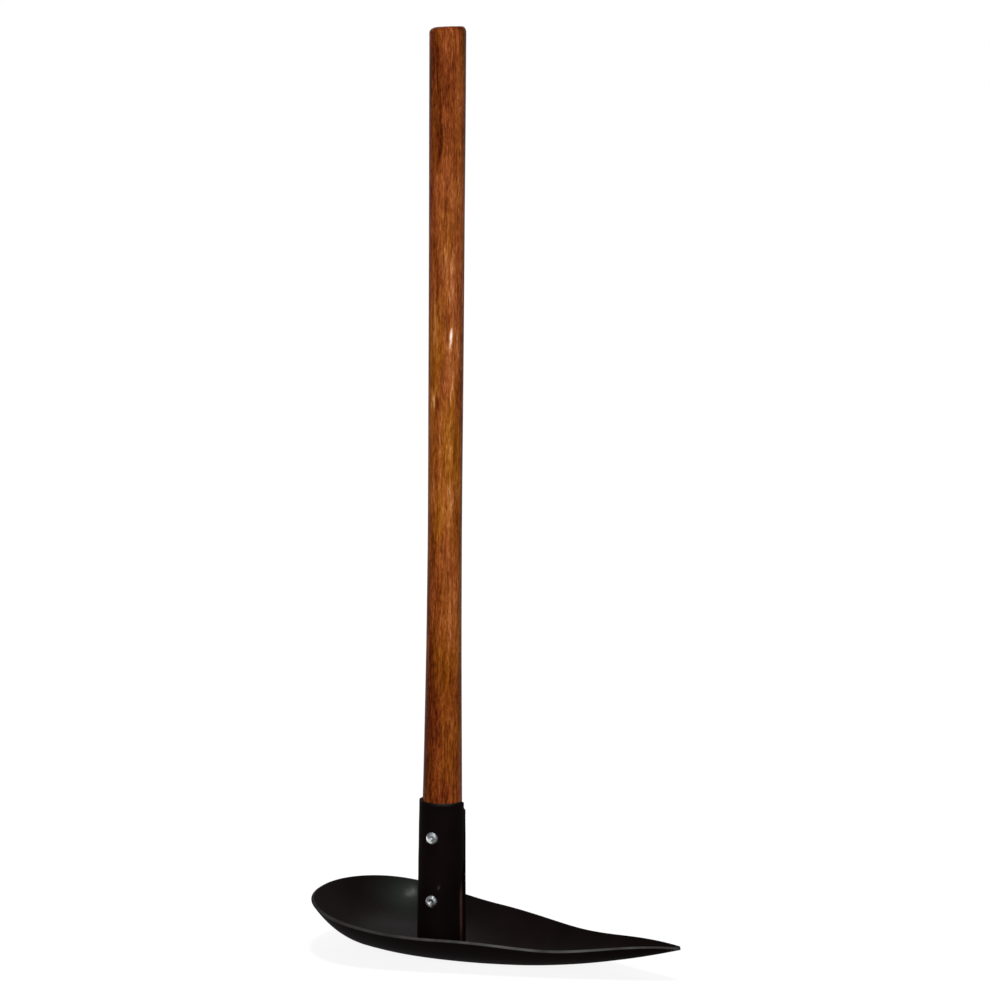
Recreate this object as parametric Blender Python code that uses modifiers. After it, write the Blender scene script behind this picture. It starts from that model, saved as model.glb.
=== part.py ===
"""A pick hoe: a wooden handle standing in a split socket inside a dished, leaf-shaped steel blade.

Frame: +Z up along the handle, +X towards the blade's point, and XZ is the plane of symmetry.
Every piece is laid out from the handle's axis, with Z = 0 at the height of the blade's datum plane.
The empty that carries them all then puts the origin under the middle of the blade's box, on the ground
that the blade's belly rests on.
"""
import bmesh
import bpy
from math import asin, cos, hypot, pi, radians, sin
from mathutils import Matrix

MM = 0.001
MERGE = 0.01 * MM

# Fit between neighbouring pieces
SEAT_GAP = 0.3 * MM

# Blade: pressed steel sheet, its plan measured from the handle's axis
BLADE_SHEET = 3.0 * MM
BLADE_EDGE_ROUND = 0.6 * MM
HEEL_REACH = 130.1 * MM
SHOULDER_REACH = 55.0 * MM
HALF_BREADTH = 93.1 * MM
SHOULDER_EASE = 36.5 * MM
FLANK_REACH = 82.3 * MM
FLANK_HALF_BREADTH = 61.4 * MM
FLANK_TAPER = 0.29
FLANK_EASE_BACK = 88.0 * MM
FLANK_EASE_FRONT = 65.0 * MM
POINT_REACH = 254.9 * MM
POINT_HALF_WIDTH = 2.4 * MM
POINT_TAPER = 0.37
POINT_EASE = 100.0 * MM

# Blade: heights of the rim above the datum plane
HEEL_RIM_HEIGHT = -14.8 * MM
HEEL_RIM_FALL = 0.15
HEEL_RIM_EASE = 67.8 * MM
MIDDLE_RIM_REACH = 31.1 * MM
MIDDLE_RIM_HEIGHT = -35.9 * MM
MIDDLE_RIM_FALL = 0.02
MIDDLE_RIM_EASE_BACK = 59.2 * MM
MIDDLE_RIM_EASE_FRONT = 47.4 * MM
LOW_RIM_REACH = 135.5 * MM
LOW_RIM_HEIGHT = -42.2 * MM
LOW_RIM_EASE_BACK = 28.1 * MM
LOW_RIM_EASE_FRONT = 40.2 * MM
POINT_RIM_HEIGHT = -35.6 * MM
POINT_RIM_EASE = 51.3 * MM
POINT_RIM_RISE = 0.04

# Blade: the dish's floor, an arc seen from the side
FLOOR_LOW_REACH = 42.1 * MM
FLOOR_LOW_HEIGHT = -67.7 * MM
POINT_HOLLOW = 0.2 * MM
DISH_FULLNESS = 3.1

# Socket: a rectangular blank rolled round the handle, open along a seam that faces the point
SOCKET_SHEET = 3.0 * MM
SOCKET_EDGE_ROUND = 0.4 * MM
SOCKET_MOUTH_HEIGHT = 85.0 * MM
SOCKET_MOUTH_DIAMETER = 46.0 * MM
SOCKET_FOOT_DIAMETER = 49.0 * MM
SEAM_MOUTH_WIDTH = 6.4 * MM
SEAM_FOOT_WIDTH = 16.5 * MM
SEAM_FLARE_BELOW_MOUTH = 37.0 * MM
SEAM_FLARE_HEIGHT = 60.0 * MM
SEAM_NEAR_CORNER_RADIUS = 6.0 * MM
SEAM_FAR_CORNER_WIDTH = 18.0 * MM
SEAM_FAR_CORNER_HEIGHT = 30.0 * MM

# Handle: turned hardwood, driven down to the dish's floor
HANDLE_LENGTH = 912.0 * MM
HANDLE_TOP_DIAMETER = 36.2 * MM
HANDLE_WAIST_DIAMETER = 34.2 * MM
HANDLE_WAIST_ABOVE_MOUTH = 273.0 * MM
HANDLE_FOOT_DIAMETER = 42.4 * MM
HANDLE_FOOT_CHAMFER = 3.0 * MM
HANDLE_FOOT_CLEARANCE = 0.8 * MM
HANDLE_TOP_FLAT_DIAMETER = 20.0 * MM
HANDLE_TOP_ROUND = 6.5 * MM
HANDLE_SWELL_CURVE = 1.6
HANDLE_GRIP_CURVE = 1.15

# Rivets: set on the -Y side, round a shallow dimple, and with a factory head on the +Y side
RIVET_UPPER_BELOW_MOUTH = 34.6 * MM
RIVET_SPACING = 64.0 * MM
RIVET_SHANK_DIAMETER = 6.4 * MM
RIVET_HEAD_DIAMETER = 12.7 * MM
RIVET_HEAD_HEIGHT = 2.2 * MM
RIVET_SET_HEIGHT = 2.2 * MM
RIVET_RIDGE_DIAMETER = 6.6 * MM
RIVET_DIMPLE_DEPTH = 0.9 * MM
RIVET_HEAD_SUNK = 2.0 * MM

# Weld: one fillet round the socket's foot, from one edge of the seam to the other
WELD_LEG = 5.0 * MM

# Fineness of the meshes
BLADE_HEEL_STATIONS = 14
BLADE_FLANK_STATIONS = 34
BLADE_RINGS = 10
BLADE_RIM_BAND = 1.5 * MM
BLADE_POINT_CROWDING = 1.25
SOCKET_COLUMNS = 48
SOCKET_ROWS = 12
SEAM_CORNER_STEPS = 4
HANDLE_SIDES = 48
HANDLE_SWELL_STEPS = 12
HANDLE_GRIP_STEPS = 6
HANDLE_ROUND_STEPS = 6
RIVET_SIDES = 24
RIVET_ARC_STEPS = 5
WELD_POINTS = 40
CURVE_HALVINGS = 40


# Curves that the blade's plan and rim follow

def bezier(controls, t):
    """One point of a cubic Bezier segment."""
    a, b, c, d = controls
    s = 1.0 - t
    return tuple(
        s ** 3 * a[i] + 3 * s * s * t * b[i] + 3 * s * t * t * c[i] + t ** 3 * d[i] for i in (0, 1)
    )


def height_along(segments, reach):
    """Height of a chain of Bezier segments at one reach, found by halving the interval."""
    reach = min(max(reach, segments[0][0][0]), segments[-1][3][0])
    segment = next(s for s in segments if reach <= s[3][0])
    low, high = 0.0, 1.0
    for _ in range(CURVE_HALVINGS):
        middle = 0.5 * (low + high)
        if bezier(segment, middle)[0] < reach:
            low = middle
        else:
            high = middle
    return bezier(segment, low)[1]


PLAN = (
    (
        (-SHOULDER_REACH, HALF_BREADTH),
        (-SHOULDER_REACH + SHOULDER_EASE, HALF_BREADTH),
        (FLANK_REACH - FLANK_EASE_BACK, FLANK_HALF_BREADTH + FLANK_EASE_BACK * FLANK_TAPER),
        (FLANK_REACH, FLANK_HALF_BREADTH),
    ),
    (
        (FLANK_REACH, FLANK_HALF_BREADTH),
        (FLANK_REACH + FLANK_EASE_FRONT, FLANK_HALF_BREADTH - FLANK_EASE_FRONT * FLANK_TAPER),
        (POINT_REACH - POINT_EASE, POINT_HALF_WIDTH + POINT_EASE * POINT_TAPER),
        (POINT_REACH, POINT_HALF_WIDTH),
    ),
)

RIM = (
    (
        (-HEEL_REACH, HEEL_RIM_HEIGHT),
        (-HEEL_REACH + HEEL_RIM_EASE, HEEL_RIM_HEIGHT - HEEL_RIM_EASE * HEEL_RIM_FALL),
        (
            MIDDLE_RIM_REACH - MIDDLE_RIM_EASE_BACK,
            MIDDLE_RIM_HEIGHT + MIDDLE_RIM_EASE_BACK * MIDDLE_RIM_FALL,
        ),
        (MIDDLE_RIM_REACH, MIDDLE_RIM_HEIGHT),
    ),
    (
        (MIDDLE_RIM_REACH, MIDDLE_RIM_HEIGHT),
        (
            MIDDLE_RIM_REACH + MIDDLE_RIM_EASE_FRONT,
            MIDDLE_RIM_HEIGHT - MIDDLE_RIM_EASE_FRONT * MIDDLE_RIM_FALL,
        ),
        (LOW_RIM_REACH - LOW_RIM_EASE_BACK, LOW_RIM_HEIGHT),
        (LOW_RIM_REACH, LOW_RIM_HEIGHT),
    ),
    (
        (LOW_RIM_REACH, LOW_RIM_HEIGHT),
        (LOW_RIM_REACH + LOW_RIM_EASE_FRONT, LOW_RIM_HEIGHT),
        (POINT_REACH - POINT_RIM_EASE, POINT_RIM_HEIGHT + POINT_RIM_EASE * POINT_RIM_RISE),
        (POINT_REACH, POINT_RIM_HEIGHT),
    ),
)


# The floor's arc runs from its lowest place out to the point, where the dish is almost flat

FLOOR_RISE = POINT_RIM_HEIGHT - POINT_HOLLOW - FLOOR_LOW_HEIGHT
FLOOR_RADIUS = (POINT_REACH - FLOOR_LOW_REACH) ** 2 / (2 * FLOOR_RISE)


def floor_line(x):
    """Height of the dish's floor on its centre line."""
    return FLOOR_LOW_HEIGHT + (x - FLOOR_LOW_REACH) ** 2 / (2 * FLOOR_RADIUS)


def dish_height(x, y):
    """Height of the dish's upper surface.

    rho runs from 0 on the centre line to 1 on the rim, and the wall climbs as rho to the power
    DISH_FULLNESS. Behind the shoulder rho is measured from the shoulder's middle, so that the
    wall turns round the heel, and the floor's slope there fades out towards the rim.
    """
    back = x + SHOULDER_REACH
    if back >= 0.0:
        rho = min(abs(y) / height_along(PLAN, x), 1.0)
        floor = floor_line(x)
        return floor + (height_along(RIM, x) - floor) * rho ** DISH_FULLNESS
    rho = min(hypot(back / (HEEL_REACH - SHOULDER_REACH), y / HALF_BREADTH), 1.0)
    shoulder_rim = height_along(RIM, -SHOULDER_REACH)
    depth = shoulder_rim - floor_line(-SHOULDER_REACH)
    floor_slope = -(SHOULDER_REACH + FLOOR_LOW_REACH) / FLOOR_RADIUS
    rim_slope = (height_along(RIM, -SHOULDER_REACH + MM) - shoulder_rim) / MM
    lean = (floor_slope - rim_slope) * back * (1.0 - rho ** 2)
    return height_along(RIM, x) - depth * (1.0 - rho ** DISH_FULLNESS) + lean


def socket_radius(z):
    """Outer radius of the socket, which opens slightly from its mouth to its foot."""
    share = (SOCKET_MOUTH_HEIGHT - z) / (SOCKET_MOUTH_HEIGHT - floor_line(0.0))
    return 0.5 * (SOCKET_MOUTH_DIAMETER + (SOCKET_FOOT_DIAMETER - SOCKET_MOUTH_DIAMETER) * share)


def seam_half_width(z):
    """Half the width of the open seam, which flares smoothly between two heights below the mouth."""
    share = (SOCKET_MOUTH_HEIGHT - SEAM_FLARE_BELOW_MOUTH - z) / SEAM_FLARE_HEIGHT
    share = min(max(share, 0.0), 1.0)
    flare = share * share * (3.0 - 2.0 * share)
    return 0.5 * (SEAM_MOUTH_WIDTH + (SEAM_FOOT_WIDTH - SEAM_MOUTH_WIDTH) * flare)


# Values worked out from the driving dimensions

FOOT_RADIUS = socket_radius(floor_line(0.0))
HANDLE_MOUTH_RADIUS = 0.5 * SOCKET_MOUTH_DIAMETER - SOCKET_SHEET - SEAT_GAP
HANDLE_FOOT_HEIGHT = dish_height(-0.5 * HANDLE_FOOT_DIAMETER, 0.0) + HANDLE_FOOT_CLEARANCE
HANDLE_TOP_HEIGHT = HANDLE_FOOT_HEIGHT + HANDLE_LENGTH
RIVET_UPPER_HEIGHT = SOCKET_MOUTH_HEIGHT - RIVET_UPPER_BELOW_MOUTH
RIVET_HEIGHTS = {"rivet_upper": RIVET_UPPER_HEIGHT, "rivet_lower": RIVET_UPPER_HEIGHT - RIVET_SPACING}


# Scene helpers

def new_collection(name):
    """A collection of that name, linked to the scene."""
    collection = bpy.data.collections.new(name)
    bpy.context.scene.collection.children.link(collection)
    return collection


def new_material(name, colour, roughness, metallic):
    """A Principled material of one colour."""
    material = bpy.data.materials.new(name)
    material.use_nodes = True
    shader = material.node_tree.nodes["Principled BSDF"]
    shader.inputs["Base Color"].default_value = (*colour, 1.0)
    shader.inputs["Roughness"].default_value = roughness
    shader.inputs["Metallic"].default_value = metallic
    material.diffuse_color = (*colour, 1.0)
    return material


def add_object(name, data, collection, material=None):
    """An object of that name and data in a collection, under the carrier."""
    obj = bpy.data.objects.new(name, data)
    collection.objects.link(obj)
    obj.parent = carrier
    if material:
        data.materials.append(material)
    return obj


def add_cutter(name, data):
    """A helper solid that the build leaves out."""
    obj = add_object(name, data, cutters)
    obj.hide_render = True
    obj.display_type = "WIRE"
    return obj


def mesh_from(bm, name):
    """A mesh made from a bmesh, which is freed."""
    mesh = bpy.data.meshes.new(name)
    bm.to_mesh(mesh)
    bm.free()
    return mesh


def cylinder_mesh(name, radius, length, sides, matrix=None):
    """A capped cylinder about Z, or about another axis that a matrix gives."""
    bm = bmesh.new()
    bmesh.ops.create_cone(
        bm, cap_ends=True, segments=sides, radius1=radius, radius2=radius, depth=length,
        matrix=matrix or Matrix.Identity(4),
    )
    return mesh_from(bm, name)


def turned_mesh(name, profile):
    """An open profile of (radius, height) pairs for a Screw modifier, as a chain of edges."""
    bm = bmesh.new()
    verts = [bm.verts.new((radius, 0.0, height)) for radius, height in profile]
    for upper, lower in zip(verts, verts[1:]):
        bm.edges.new((upper, lower))
    return mesh_from(bm, name)


def turn(obj, sides):
    """Turn an object's profile round its own Z axis."""
    screw = obj.modifiers.new("turn", "SCREW")
    screw.steps = sides
    screw.render_steps = sides
    screw.use_merge_vertices = True
    screw.merge_threshold = MERGE
    screw.use_smooth_shade = True
    return screw


def cut(obj, cutter):
    """Take a cutter away from an object."""
    boolean = obj.modifiers.new("cut " + cutter.name, "BOOLEAN")
    boolean.operation = "DIFFERENCE"
    boolean.solver = "EXACT"
    boolean.object = cutter
    return boolean


def round_edges(obj, width, segments=2):
    """Round the edges that are sharper than 50 degrees."""
    bevel = obj.modifiers.new("edge round", "BEVEL")
    bevel.width = width
    bevel.segments = segments
    bevel.limit_method = "ANGLE"
    bevel.angle_limit = radians(50.0)
    return bevel


def even_shading(obj):
    """Let large faces lead the shading, so that small ones round a hole or an edge don't streak it."""
    normals = obj.modifiers.new("even shading", "WEIGHTED_NORMAL")
    normals.keep_sharp = True
    return normals


def thicken(obj, thickness, offset):
    """Give an open surface its sheet thickness."""
    solidify = obj.modifiers.new("sheet", "SOLIDIFY")
    solidify.thickness = thickness
    solidify.offset = offset
    solidify.use_even_offset = True
    return solidify


# Blade

def blade_plan_point(along, across):
    """Plan position on the dish's half for along and across from 0 to 1.

    along runs round the heel from its end to the shoulder, and then down the flank to the point.
    across runs from the centre line to the rim, with its last step held at the rim band's width.
    """
    inner_rings = BLADE_RINGS - 1
    ring = round(across * BLADE_RINGS)
    station = round(along * (BLADE_HEEL_STATIONS + BLADE_FLANK_STATIONS))
    if station <= BLADE_HEEL_STATIONS:
        angle = 0.5 * pi * station / BLADE_HEEL_STATIONS
        scale = 1.0
        if ring <= inner_rings:
            scale = (1.0 - BLADE_RIM_BAND / HALF_BREADTH) * ring / inner_rings
        heel = HEEL_REACH - SHOULDER_REACH
        return -SHOULDER_REACH - scale * heel * cos(angle), scale * HALF_BREADTH * sin(angle)
    share = (station - BLADE_HEEL_STATIONS) / BLADE_FLANK_STATIONS
    x = -SHOULDER_REACH + (POINT_REACH + SHOULDER_REACH) * (1.0 - (1.0 - share) ** BLADE_POINT_CROWDING)
    half = height_along(PLAN, x)
    y = half
    if ring <= inner_rings:
        y = (half - BLADE_RIM_BAND) * ring / inner_rings
    return x, y


def dish_mesh(name, lift):
    """Half of the dish's upper surface, raised by a lift, as a grid laid on the blade's plan."""
    bm = bmesh.new()
    stations = BLADE_HEEL_STATIONS + BLADE_FLANK_STATIONS
    bmesh.ops.create_grid(bm, x_segments=stations, y_segments=BLADE_RINGS, size=0.5)
    for vert in bm.verts:
        x, y = blade_plan_point(vert.co.x + 0.5, vert.co.y + 0.5)
        vert.co = (x, y, dish_height(x, y) + lift)
    bmesh.ops.remove_doubles(bm, verts=bm.verts, dist=MERGE)
    return mesh_from(bm, name)


def add_dish(obj, thickness):
    """Mirror the half dish, and give it its sheet below the upper surface."""
    mirror = obj.modifiers.new("other half", "MIRROR")
    mirror.use_axis = (False, True, False)
    mirror.merge_threshold = MERGE
    thicken(obj, thickness, -1.0)


def build_blade():
    """The pressed, dished leaf, with its rim's edges eased."""
    paint = new_material("blade_paint", (0.018, 0.016, 0.017), 0.42, 0.0)
    blade = add_object("blade", dish_mesh("blade", 0.0), parts, paint)
    add_dish(blade, BLADE_SHEET)
    round_edges(blade, BLADE_EDGE_ROUND)
    blade.data.shade_smooth()
    return blade


# Socket

def corner_height(column):
    """Height of the blank's rounded corner on that column's side of the seam."""
    return SEAM_FAR_CORNER_HEIGHT if 2 * column < SOCKET_COLUMNS else SEAM_NEAR_CORNER_RADIUS


def blank_position(column):
    """Share of the blank's width at one column, close together where the seam's corners are round."""
    width = pi * (SOCKET_MOUTH_DIAMETER - SOCKET_SHEET) - SEAM_MOUTH_WIDTH
    far = SEAM_FAR_CORNER_WIDTH / width
    near = SEAM_NEAR_CORNER_RADIUS / width
    from_far_edge = column
    from_near_edge = SOCKET_COLUMNS - column
    if from_far_edge <= SEAM_CORNER_STEPS:
        return far * (1.0 - cos(0.5 * pi * from_far_edge / SEAM_CORNER_STEPS))
    if from_near_edge <= SEAM_CORNER_STEPS:
        return 1.0 - near * (1.0 - cos(0.5 * pi * from_near_edge / SEAM_CORNER_STEPS))
    middle = SOCKET_COLUMNS - 2 * SEAM_CORNER_STEPS
    return far + (1.0 - far - near) * (column - SEAM_CORNER_STEPS) / middle


def mouth_height(column):
    """Height of the socket's mouth, which is level and rounded off at the seam's corners."""
    steps = min(column, SOCKET_COLUMNS - column, SEAM_CORNER_STEPS)
    drop = corner_height(column) * (1.0 - sin(0.5 * pi * steps / SEAM_CORNER_STEPS))
    return SOCKET_MOUTH_HEIGHT - drop


def socket_point(column, up):
    """Position on the middle of the socket's sheet, for a column and a share of the height."""
    share = blank_position(column)
    angle = 2.0 * pi * share
    z = SOCKET_MOUTH_HEIGHT
    for _ in range(3):
        foot = dish_height(FOOT_RADIUS * cos(angle), FOOT_RADIUS * sin(angle)) + SEAT_GAP
        z = foot + (mouth_height(column) - foot) * up
        radius = socket_radius(z) - 0.5 * SOCKET_SHEET
        half_gap = asin(seam_half_width(z) / radius)
        angle = half_gap + 2.0 * (pi - half_gap) * share
    return radius * cos(angle), radius * sin(angle), z


def build_socket(bores):
    """The rolled tube, open along its seam, with its foot shaped to the dish's floor."""
    paint = new_material("socket_paint", (0.020, 0.018, 0.019), 0.45, 0.0)
    bm = bmesh.new()
    bmesh.ops.create_grid(bm, x_segments=SOCKET_COLUMNS, y_segments=SOCKET_ROWS, size=0.5)
    for vert in bm.verts:
        column = round((vert.co.x + 0.5) * SOCKET_COLUMNS)
        vert.co = socket_point(column, vert.co.y + 0.5)
    socket = add_object("socket", mesh_from(bm, "socket"), parts, paint)
    thicken(socket, SOCKET_SHEET, 0.0)
    round_edges(socket, SOCKET_EDGE_ROUND)
    for bore in bores:
        cut(socket, bore)
    socket.data.shade_smooth()
    even_shading(socket)


# Handle

def handle_profile():
    """Radius and height down the handle's outside, from the middle of its top to its foot's."""
    top_radius = 0.5 * HANDLE_TOP_DIAMETER
    waist_radius = 0.5 * HANDLE_WAIST_DIAMETER
    foot_radius = 0.5 * HANDLE_FOOT_DIAMETER
    flat_radius = 0.5 * HANDLE_TOP_FLAT_DIAMETER
    shoulder = HANDLE_TOP_HEIGHT - HANDLE_TOP_ROUND
    waist = SOCKET_MOUTH_HEIGHT + HANDLE_WAIST_ABOVE_MOUTH
    points = [(0.0, HANDLE_TOP_HEIGHT)]
    for step in range(HANDLE_ROUND_STEPS):
        angle = 0.5 * pi * step / HANDLE_ROUND_STEPS
        out = flat_radius + (top_radius - flat_radius) * sin(angle)
        points.append((out, shoulder + HANDLE_TOP_ROUND * cos(angle)))
    for step in range(HANDLE_GRIP_STEPS):
        share = 1.0 - step / HANDLE_GRIP_STEPS
        radius = waist_radius + (top_radius - waist_radius) * share ** HANDLE_GRIP_CURVE
        points.append((radius, waist + (shoulder - waist) * share))
    for step in range(HANDLE_SWELL_STEPS):
        share = step / HANDLE_SWELL_STEPS
        radius = waist_radius + (HANDLE_MOUTH_RADIUS - waist_radius) * share ** HANDLE_SWELL_CURVE
        points.append((radius, waist - HANDLE_WAIST_ABOVE_MOUTH * share))
    points.append((HANDLE_MOUTH_RADIUS, SOCKET_MOUTH_HEIGHT))
    points.append((foot_radius, HANDLE_FOOT_HEIGHT + HANDLE_FOOT_CHAMFER))
    points.append((foot_radius - HANDLE_FOOT_CHAMFER, HANDLE_FOOT_HEIGHT))
    points.append((0.0, HANDLE_FOOT_HEIGHT))
    return points


def build_handle(bores):
    """The turned handle, bored for both rivets."""
    wood = new_material("handle_wood", (0.27, 0.085, 0.025), 0.38, 0.0)
    handle = add_object("handle", turned_mesh("handle", handle_profile()), parts, wood)
    turn(handle, HANDLE_SIDES)
    for bore in bores:
        cut(handle, bore)
    even_shading(handle)


# Rivets

def rivet_profile(seat):
    """Radius and height down a rivet, from its factory head to the dimple in its set head.

    seat is the distance from the handle's axis to the socket's outside. Both heads start well
    inside it, because the saddle cutter then shapes their undersides to the socket.
    """
    head_radius = 0.5 * RIVET_HEAD_DIAMETER
    ridge_radius = 0.5 * RIVET_RIDGE_DIAMETER
    blank_radius = 0.5 * RIVET_SHANK_DIAMETER + SEAT_GAP
    sunk = seat - RIVET_HEAD_SUNK
    points = []
    for step in range(RIVET_ARC_STEPS + 1):
        angle = 0.5 * pi * step / RIVET_ARC_STEPS
        points.append((head_radius * sin(angle), seat + RIVET_HEAD_HEIGHT * cos(angle)))
    points += [(head_radius, sunk), (blank_radius, sunk), (blank_radius, -sunk), (head_radius, -sunk)]
    for step in range(RIVET_ARC_STEPS + 1):
        angle = 0.5 * pi * step / RIVET_ARC_STEPS
        out = ridge_radius + (head_radius - ridge_radius) * cos(angle)
        points.append((out, -seat - RIVET_SET_HEIGHT * sin(angle)))
    for step in range(1, RIVET_ARC_STEPS + 1):
        share = step / RIVET_ARC_STEPS
        dimple = 0.5 * RIVET_DIMPLE_DEPTH * (1.0 - cos(pi * share))
        points.append((ridge_radius * (1.0 - share), -seat - RIVET_SET_HEIGHT + dimple))
    return points


def build_rivet(name, height, metal):
    """One steel rivet along Y, with both heads seated on the socket's round outside."""
    seat = socket_radius(height) + SEAT_GAP
    lying = Matrix.Rotation(radians(-90.0), 4, "X")
    saddle_mesh = cylinder_mesh(name + "_saddle", seat, 2.0 * RIVET_HEAD_DIAMETER, 4 * RIVET_SIDES)
    saddle = add_cutter(name + "_saddle", saddle_mesh)
    saddle.location.z = height
    shank_mesh = cylinder_mesh(
        name + "_shank_room", 0.5 * RIVET_SHANK_DIAMETER, 4.0 * seat, RIVET_SIDES, lying
    )
    shank_room = add_cutter(name + "_shank_room", shank_mesh)
    shank_room.location.z = height
    cut(saddle, shank_room)
    rivet = add_object(name, turned_mesh(name, rivet_profile(seat)), parts, metal)
    rivet.location.z = height
    rivet.rotation_euler.x = radians(-90.0)
    turn(rivet, RIVET_SIDES)
    cut(rivet, saddle)


def add_bore(name, height):
    """The hole that one rivet runs through, in the socket and in the handle."""
    lying = Matrix.Rotation(radians(-90.0), 4, "X")
    radius = 0.5 * RIVET_SHANK_DIAMETER + SEAT_GAP
    bore = add_cutter(name, cylinder_mesh(name, radius, 2.0 * SOCKET_FOOT_DIAMETER, RIVET_SIDES, lying))
    bore.location.z = height
    return bore


# Weld

def build_weld():
    """The fillet round the socket's foot: a round bead, less the room of the socket and the blade."""
    paint = new_material("weld_paint", (0.022, 0.020, 0.021), 0.55, 0.0)
    curve = bpy.data.curves.new("foot_weld_path", "CURVE")
    curve.dimensions = "3D"
    curve.bevel_depth = WELD_LEG
    curve.bevel_resolution = 4
    curve.use_fill_caps = True
    spline = curve.splines.new("POLY")
    spline.points.add(WELD_POINTS - 1)
    radius = FOOT_RADIUS + SEAT_GAP
    start = asin(0.5 * SEAM_FOOT_WIDTH / radius)
    for index, point in enumerate(spline.points):
        angle = start + 2.0 * (pi - start) * index / (WELD_POINTS - 1)
        x = radius * cos(angle)
        y = radius * sin(angle)
        point.co = (x, y, dish_height(x, y) + SEAT_GAP, 1.0)
    path = bpy.data.objects.new("foot_weld_path", curve)
    cutters.objects.link(path)
    evaluated = path.evaluated_get(bpy.context.evaluated_depsgraph_get())
    mesh = bpy.data.meshes.new_from_object(evaluated)
    bpy.data.objects.remove(path)
    bm = bmesh.new()
    bm.from_mesh(mesh)
    bmesh.ops.remove_doubles(bm, verts=bm.verts, dist=MERGE)
    bpy.data.meshes.remove(mesh)
    weld = add_object("foot_weld", mesh_from(bm, "foot_weld"), parts, paint)

    room = bmesh.new()
    foot = floor_line(0.0)
    reach = 4.0 * WELD_LEG
    bmesh.ops.create_cone(
        room, cap_ends=True, segments=4 * RIVET_SIDES, depth=2.0 * reach,
        radius1=socket_radius(foot - reach) + SEAT_GAP, radius2=socket_radius(foot + reach) + SEAT_GAP,
    )
    socket_room = add_cutter("socket_room", mesh_from(room, "socket_room"))
    socket_room.location.z = foot
    blade_room = add_cutter("blade_room", dish_mesh("blade_room", SEAT_GAP))
    add_dish(blade_room, 3.0 * WELD_LEG)
    cut(weld, socket_room)
    cut(weld, blade_room)


# The whole tool

def clear_scene():
    """Remove every object of the scene that the script starts in."""
    for obj in list(bpy.data.objects):
        bpy.data.objects.remove(obj)


def place_origin(blade):
    """Put the origin under the middle of the blade's box, on the ground below its belly."""
    bpy.context.view_layer.update()
    shape = blade.evaluated_get(bpy.context.evaluated_depsgraph_get())
    corners = [corner[:] for corner in shape.bound_box]
    middle = 0.5 * (min(c[0] for c in corners) + max(c[0] for c in corners))
    carrier.location = (-middle, 0.0, -min(c[2] for c in corners))


clear_scene()
parts = new_collection("pick_hoe")
cutters = new_collection("pick_hoe_cutters")
carrier = bpy.data.objects.new("handle_axis", None)
parts.objects.link(carrier)

rivet_bores = [add_bore(name + "_bore", height) for name, height in RIVET_HEIGHTS.items()]
build_handle(rivet_bores)
build_socket(rivet_bores)
zinc = new_material("rivet_zinc", (0.62, 0.63, 0.64), 0.28, 1.0)
for rivet_name, rivet_height in RIVET_HEIGHTS.items():
    build_rivet(rivet_name, rivet_height, zinc)
build_weld()
place_origin(build_blade())
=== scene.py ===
"""The looks of the pick hoe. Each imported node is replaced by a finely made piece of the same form.

Lengths are in metres. X runs towards the blade's point, Y across the blade and Z up the handle.
"""
import math

import bmesh
import bpy
import numpy as np
from mathutils import Matrix, Vector


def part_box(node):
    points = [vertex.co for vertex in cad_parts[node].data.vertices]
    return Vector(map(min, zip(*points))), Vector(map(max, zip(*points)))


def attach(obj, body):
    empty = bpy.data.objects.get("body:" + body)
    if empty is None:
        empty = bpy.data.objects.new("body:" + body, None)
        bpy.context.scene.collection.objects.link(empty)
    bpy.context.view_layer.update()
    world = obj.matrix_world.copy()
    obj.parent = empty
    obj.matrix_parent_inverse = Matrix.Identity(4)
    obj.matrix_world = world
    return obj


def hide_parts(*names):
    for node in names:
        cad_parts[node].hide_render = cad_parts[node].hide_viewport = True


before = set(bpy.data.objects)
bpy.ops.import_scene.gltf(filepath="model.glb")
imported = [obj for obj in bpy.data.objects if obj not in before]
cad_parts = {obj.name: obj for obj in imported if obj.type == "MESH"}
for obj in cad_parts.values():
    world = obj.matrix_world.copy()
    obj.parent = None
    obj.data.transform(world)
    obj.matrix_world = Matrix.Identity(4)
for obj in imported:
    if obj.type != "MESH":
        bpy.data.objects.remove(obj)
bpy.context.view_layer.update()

# Handle: one straight length of hardwood, turned slim in the middle and rounded over at its sawn
# top. It is stained orange-brown and varnished, and driven into the socket down to the blade.

MM = 0.001
HANDLE_FOOT = -64.08 * MM
HANDLE_TOP = 847.92 * MM
MOUTH_HEIGHT = 85.0 * MM
WAIST_HEIGHT = 358.0 * MM
FOOT_RADIUS = 21.2 * MM
HANDLE_MOUTH_RADIUS = 19.7 * MM
WAIST_RADIUS = 17.0 * MM
TOP_RADIUS = 18.1 * MM
FOOT_CHAMFER = 3.0 * MM
TOP_ROUND = 6.5 * MM
SAWN_RADIUS = 12.0 * MM
SAWN_SHIFT = 2.2 * MM
SAWN_SLANT = 0.7 * MM
BOW = 0.9 * MM
TURNING_DENT = 0.006
MERGE_DISTANCE = 0.002 * MM

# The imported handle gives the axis, and the level on it from which all heights here are counted.
handle_low, handle_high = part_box("handle")
AXIS_X = 0.5 * (handle_low.x + handle_high.x)
DATUM_Z = handle_high.z - HANDLE_TOP


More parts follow.
